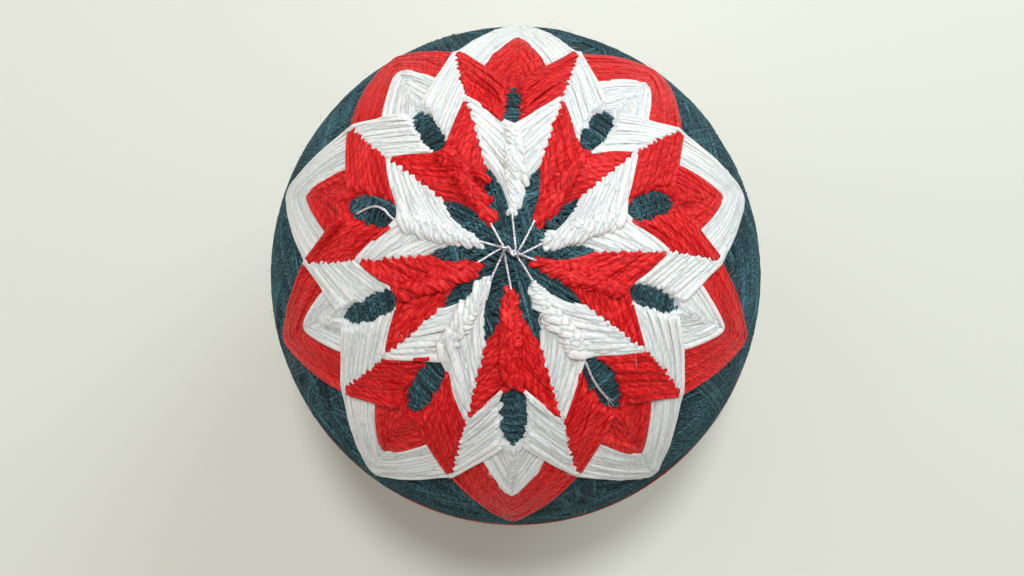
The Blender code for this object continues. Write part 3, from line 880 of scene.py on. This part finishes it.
def wind(covers, hidden):
    """Threads of the wound ground, split at the equator's plane and left out under the stitches."""
    work = {True: Threads(4), False: Threads(4, FLOOR_GAP)}
    fuzz = Fuzz(71)
    size = int(2 * ROOM * BALL / VOXEL) + 2
    count = np.zeros((size, size, size), np.int16)
    for ring, height, radius, start in wound_rings()[::-1]:
        at = tuple(((ring * BALL + ROOM * BALL) / VOXEL).astype(int).T)
        open_above = count[at] < LAYERS
        count[at] += 1
        for upper in (True, False):
            flat = outward(ring, upper, False)
            side = flat[:, 2] >= -EQUATOR_LAP
            places = even(flat) if upper else flat
            share = looked_up(covers[upper], places)
            seen = side & open_above & ~looked_up(hidden[upper], places)
            for _ in range(3):
                seen = (seen | np.roll(seen, 1) | np.roll(seen, -1)) & side
            polar, _ = angles(flat)
            puff = PUFF * (1 - share) * (1 - smooth(*PUFF_ENDS, polar))
            obi_edge = 90 - OBI_HALF_ANGLE
            puff = puff - OBI_GROOVE * smooth(obi_edge - 1, obi_edge + 0.4, polar)
            for a, b in runs(seen):
                keep = np.append(np.arange(a, b - 1, KEPT_STEPS), b - 1)
                part = ring[keep]
                points = framed(part * (BALL + height + puff[keep])[:, None])
                work[upper].add(points, part, radius, start + a * RING_STEP)
                fuzz.offer(points, part, np.full(len(keep), radius))
    return work, fuzz


def ribs(work, upper):
    """Windings in ribs across each hole, highest along its middle."""
    chance = np.random.default_rng(61 if upper else 67)
    for line, named in HOLES.items():
        width, end = named if upper else EVEN_HOLE
        count = int(math.radians(end - NOTCH_INNER + RIBS_BEYOND) * BALL / RIB_STEP)
        for k in range(count):
            centre = NOTCH_INNER - RIBS_BEFORE + math.degrees((k + 0.5) * RIB_STEP / BALL)
            slant = float(chance.normal(0, RIB_SLANT))
            share = np.clip((centre - NOTCH_INNER) / (end - NOTCH_INNER), 0, 1)
            crown = CROWN + CROWN_MORE * math.sin(math.pi * (0.12 + 0.76 * share))
            for along, up in BUNCH:
                offsets = np.linspace(-width - RIB_BESIDE, width + RIB_BESIDE, 15 if upper else 7)
                sway = RIB_SWAY * np.sin(offsets * 1.3 + chance.uniform(0, 6))
                polars = centre + np.degrees((offsets * slant + along + sway) / BALL)
                way = np.array([aside(polar, line, mm) for polar, mm in zip(polars, offsets)])
                bow = np.cos(np.clip(offsets / (width + RIB_DIVES), -1, 1) * math.pi / 2)
                heights = (crown + up) * bow - RIB_SINK
                work.add(place(way, heights, upper), outward(way, upper), RIB * chance.normal(1, RIB_SPREAD),
                         float(chance.uniform(0, THREAD_LENGTH)))


def core_mesh():
    """Ball under the outer windings."""
    mesh = bpy.data.meshes.new("wound_core")
    rings, segments = 48, 96
    radius = BALL - CORE_DEPTH
    polar = np.linspace(0, 180, rings + 1)[1:-1]
    azimuth = np.arange(segments) * 360 / segments
    grid = unit(polar[:, None], azimuth[None, :]) * radius
    points = framed(np.concatenate([grid.reshape(-1, 3), [[0, 0, radius]], [[0, 0, -radius]]])) / 1000
    faces = []
    for r in range(rings - 2):
        for k in range(segments):
            a, b = r * segments + k, r * segments + (k + 1) % segments
            faces.append((a, a + segments, b + segments, b))
    top, bottom = len(points) - 2, len(points) - 1
    last = (rings - 2) * segments
    for k in range(segments):
        faces.append((top, k, (k + 1) % segments))
        faces.append((bottom, last + (k + 1) % segments, last + k))
    mesh.from_pydata(points.tolist(), [], faces)
    mesh.shade_smooth()
    mesh.materials.append(ball_material())
    return linked("wound_core", mesh)


def finish_piece(item, slot, *nodes):
    """Let a piece ride on the part and take a node's place; slot is not used."""
    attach(item, "root")
    if nodes:
        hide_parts(*nodes)


def thread_piece(work, name, colour, *nodes):
    """Finish the piece of some threads."""
    finish_piece(work.object(name, threads[colour]), colour + "_thread", *nodes)


# Each half: upper, seed, sides of a tube, slack of its points in mm, name
HALVES = ((True, 11, 8, 0.02, "upper"), (False, 23, 5, 0.06, "lower"))

covers, hidden = {}, {}
radii_table = strand_radii()
for upper, seed, sides, slack, half in HALVES:
    work, fuzz, silver, ground = dress_star(upper, seed, sides, slack, radii_table)
    if upper:
        for colour in ("white", "red"):
            thread_piece(fuzz[colour].threads(*STITCH_FIBRES), "loose_fibres_" + colour, colour)
    covers[upper], hidden[upper] = cover(ground), buried(ground)
    for colour in ("white", "red"):
        thread_piece(work[colour], f"{colour}_threads_{half}", colour, f"{colour}_stitches_{half}")
    thread_piece(silver, "marking_" + half, "silver", "marking_threads_" + half)

finish_piece(core_mesh(), "teal_thread", "wound_ball")
wound, wound_fuzz = wind(covers, hidden)
thread_piece(wound_fuzz.threads(*WOUND_FIBRES), "loose_fibres_teal", "teal")
for upper, *_, half in HALVES:
    ribs(wound[upper], upper)
    thread_piece(wound[upper], "wound_threads_" + half, "teal")


# Loose loops that stand out of the stitches: name, colour, radius, then plane places and heights in mm

STRAYS = (
    ("stray_strand_red", "red", 0.27,
     ((-7.0, 11.0, 0.6), (-5.6, 10.75, 1.2), (-4.4, 10.4, 1.5), (-3.4, 9.9, 1.3), (-2.75, 9.45, 0.8))),
    ("stray_strand_red_low", "red", 0.27,
     ((-6.6, 10.4, 0.6), (-5.3, 10.2, 1.2), (-4.3, 9.85, 1.5), (-3.5, 9.45, 1.3), (-3.0, 9.1, 0.8))),
    ("stray_loop_white", "white", 0.06,
     ((4.9, -7.9, 0.9), (4.1, -7.9, 1.2), (3.6, -8.5, 1.2), (3.7, -9.3, 1.1), (4.3, -9.9, 0.8))),
)

for name, colour, radius, places in STRAYS:
    work = Threads(6)
    route = curve_through(places, 0.15)
    directions = unplane(route[:, :2])
    work.add(place(directions, route[:, 2], True, False), directions, radius)
    thread_piece(work, name, colour)


# Obi band: one long thread wound round the equator

OBI_TURNS, OBI_STEPS = 11, 150
OBI_SWAY, SWAY_STEPS = 0.05, 30  # spread of its height, mm, and steps between its draws
OBI_SINK, OBI_CROWN = 0.04, 0.12  # its edges lie lower than the ball, its middle higher
OBI_OVERLAP = 1.04


def obi():
    """The band as one tube, from its lower edge upwards."""
    chance = np.random.default_rng(31)
    work = Threads(7)
    count = OBI_TURNS * OBI_STEPS
    share = np.arange(count + 1) / count
    turn = 2 * np.pi * OBI_TURNS * share
    width = 2 * BALL * math.sin(math.radians(OBI_HALF_ANGLE)) - 2 * OBI_THREAD
    sway = np.interp(np.arange(count + 1), np.arange(0, count + SWAY_STEPS, SWAY_STEPS),
                     chance.normal(0, OBI_SWAY, count // SWAY_STEPS + 1))
    z = (share - 0.5) * width + sway
    radius = BALL - OBI_SINK + OBI_CROWN * np.cos(z / width * math.pi)
    ring = np.stack([np.cos(turn), np.sin(turn), 0 * turn], axis=1)
    work.add(framed(ring * radius[:, None] + z[:, None] * (0, 0, 1)), ring, OBI_THREAD * OBI_OVERLAP)
    return work


thread_piece(obi(), "obi_threads", "red", "obi_band")

# Silver thread in two of the holes: name, petal line, node, then its places (polar angle, sideways mm)
# and the loose plies at its end (polar angle, sideways mm from there, height in mm)

SILVER_RUNS = (
    ("marking_in_hole_left", 162, "marking_run_left",
     ((24.8, 0.5), (26.3, 0.2), (28.4, -0.5), (30.6, -0.6), (32.6, -0.1), (34.0, 0.45), (35.5, 1.0)), ()),
    ("marking_in_hole_low", 306, "marking_run_low",
     ((25.2, -0.3), (26.8, -0.5), (28.8, -0.75), (31.0, -0.8), (33.2, -0.7), (35.6, -0.5)),
     ((36.3, -0.45, 0.9), (36.6, 0.05, 1.1), (36.1, 0.5, 0.8))),
)
RUN_HEIGHT, RUN_BOW = 0.45, 0.35
PLY_HEIGHT = 0.55


def beside_line(line, places):
    """Directions along a curve through places beside a petal line."""
    return unplane(curve_through([plane(aside(polar, line, mm)) for polar, mm in places], FINE_STEP))


for name, line, node, places, frayed in SILVER_RUNS:
    work = Threads(8)
    way = beside_line(line, places)
    heights = RUN_HEIGHT + RUN_BOW * np.sin(np.linspace(0, math.pi, len(way)))
    work.add(place(way, heights, True), uneven(way), MARKING, 0.0)
    end_polar, end_mm = places[-1]
    for polar, mm, rise in frayed:
        way = beside_line(line, (places[-2], (end_polar - 0.6, end_mm + 0.4 * mm), (polar, end_mm + mm)))
        heights = np.linspace(PLY_HEIGHT, rise, len(way))
        work.add(place(way, heights, True), uneven(way), LOOSE_PLY, 40.0 * polar)
    thread_piece(work, name, "silver", node)

# Floor, light and camera

floor = bpy.data.meshes.new("floor")
floor.from_pydata([(-3, -3, 0), (3, -3, 0), (3, 3, 0), (-3, 3, 0)], [], [(0, 1, 2, 3)])
floor_item = linked("floor", floor)
look = Look("pale_floor")
look.feed(look.shader, {"Base Color": (0.555, 0.565, 0.515, 1), "Roughness": 0.45})
floor.materials.append(look.material)

LIT = Vector((0, 0, 0.04))


def area_light(name, position, size, energy, colour):
    """A round light turned to the ball."""
    data = bpy.data.lights.new(name, "AREA")
    data.shape, data.size, data.energy, data.color = "DISK", size, energy, colour
    item = linked(name, data)
    item.location = position
    item.rotation_euler = (LIT - Vector(position)).to_track_quat("-Z", "Y").to_euler()


area_light("window_light", (0.50, 0.60, 0.55), 0.5, 4.6, (0.86, 0.96, 1.0))
area_light("top_light", (0.02, 0.284, 0.96), 0.17, 5.4, (0.97, 1.0, 0.99))
area_light("room_light", (-0.6, 0.2, 0.8), 0.8, 0.8, (1.0, 0.97, 0.90))
world = bpy.data.worlds.new("room")
world.use_nodes = True
background = world.node_tree.nodes["Background"].inputs
background[0].default_value, background[1].default_value = (1.0, 0.94, 0.86, 1), 0.58
bpy.context.scene.world = world
bpy.context.scene.view_settings.view_transform = "Standard"

IMAGE_WIDTH, IMAGE_HEIGHT = 1024, 576
FOCAL = 1204.7  # pixels
BALL_AT = (515.64, 275.79)  # the ball's centre in the picture, pixels
CAMERA_DISTANCE = 0.200
LEAN_RIGHT, LEAN_UP, ROLL = -0.73, 4.45, -0.18

lens = bpy.data.cameras.new("camera")
lens.sensor_width = 36.0
lens.lens = FOCAL / IMAGE_WIDTH * lens.sensor_width
lens.clip_start, lens.clip_end = 0.01, 20
camera = linked("camera", lens)
turn = (Matrix.Rotation(math.radians(LEAN_RIGHT), 3, "Y")
        @ Matrix.Rotation(math.radians(-LEAN_UP), 3, "X")
        @ Matrix.Rotation(math.radians(ROLL), 3, "Z"))
centre = Vector((0, 0, CENTRE / 1000))
position = centre + turn.transposed() @ Vector((0, 0, CAMERA_DISTANCE))
seen_at = Vector((BALL_AT[0] - IMAGE_WIDTH / 2, IMAGE_HEIGHT / 2 - BALL_AT[1], -FOCAL)).normalized()
aim = Vector((0, 0, -1)).rotation_difference(seen_at).to_matrix()
camera.matrix_world = Matrix.Translation(position) @ (aim @ turn).transposed().to_4x4()
bpy.context.scene.camera = camera
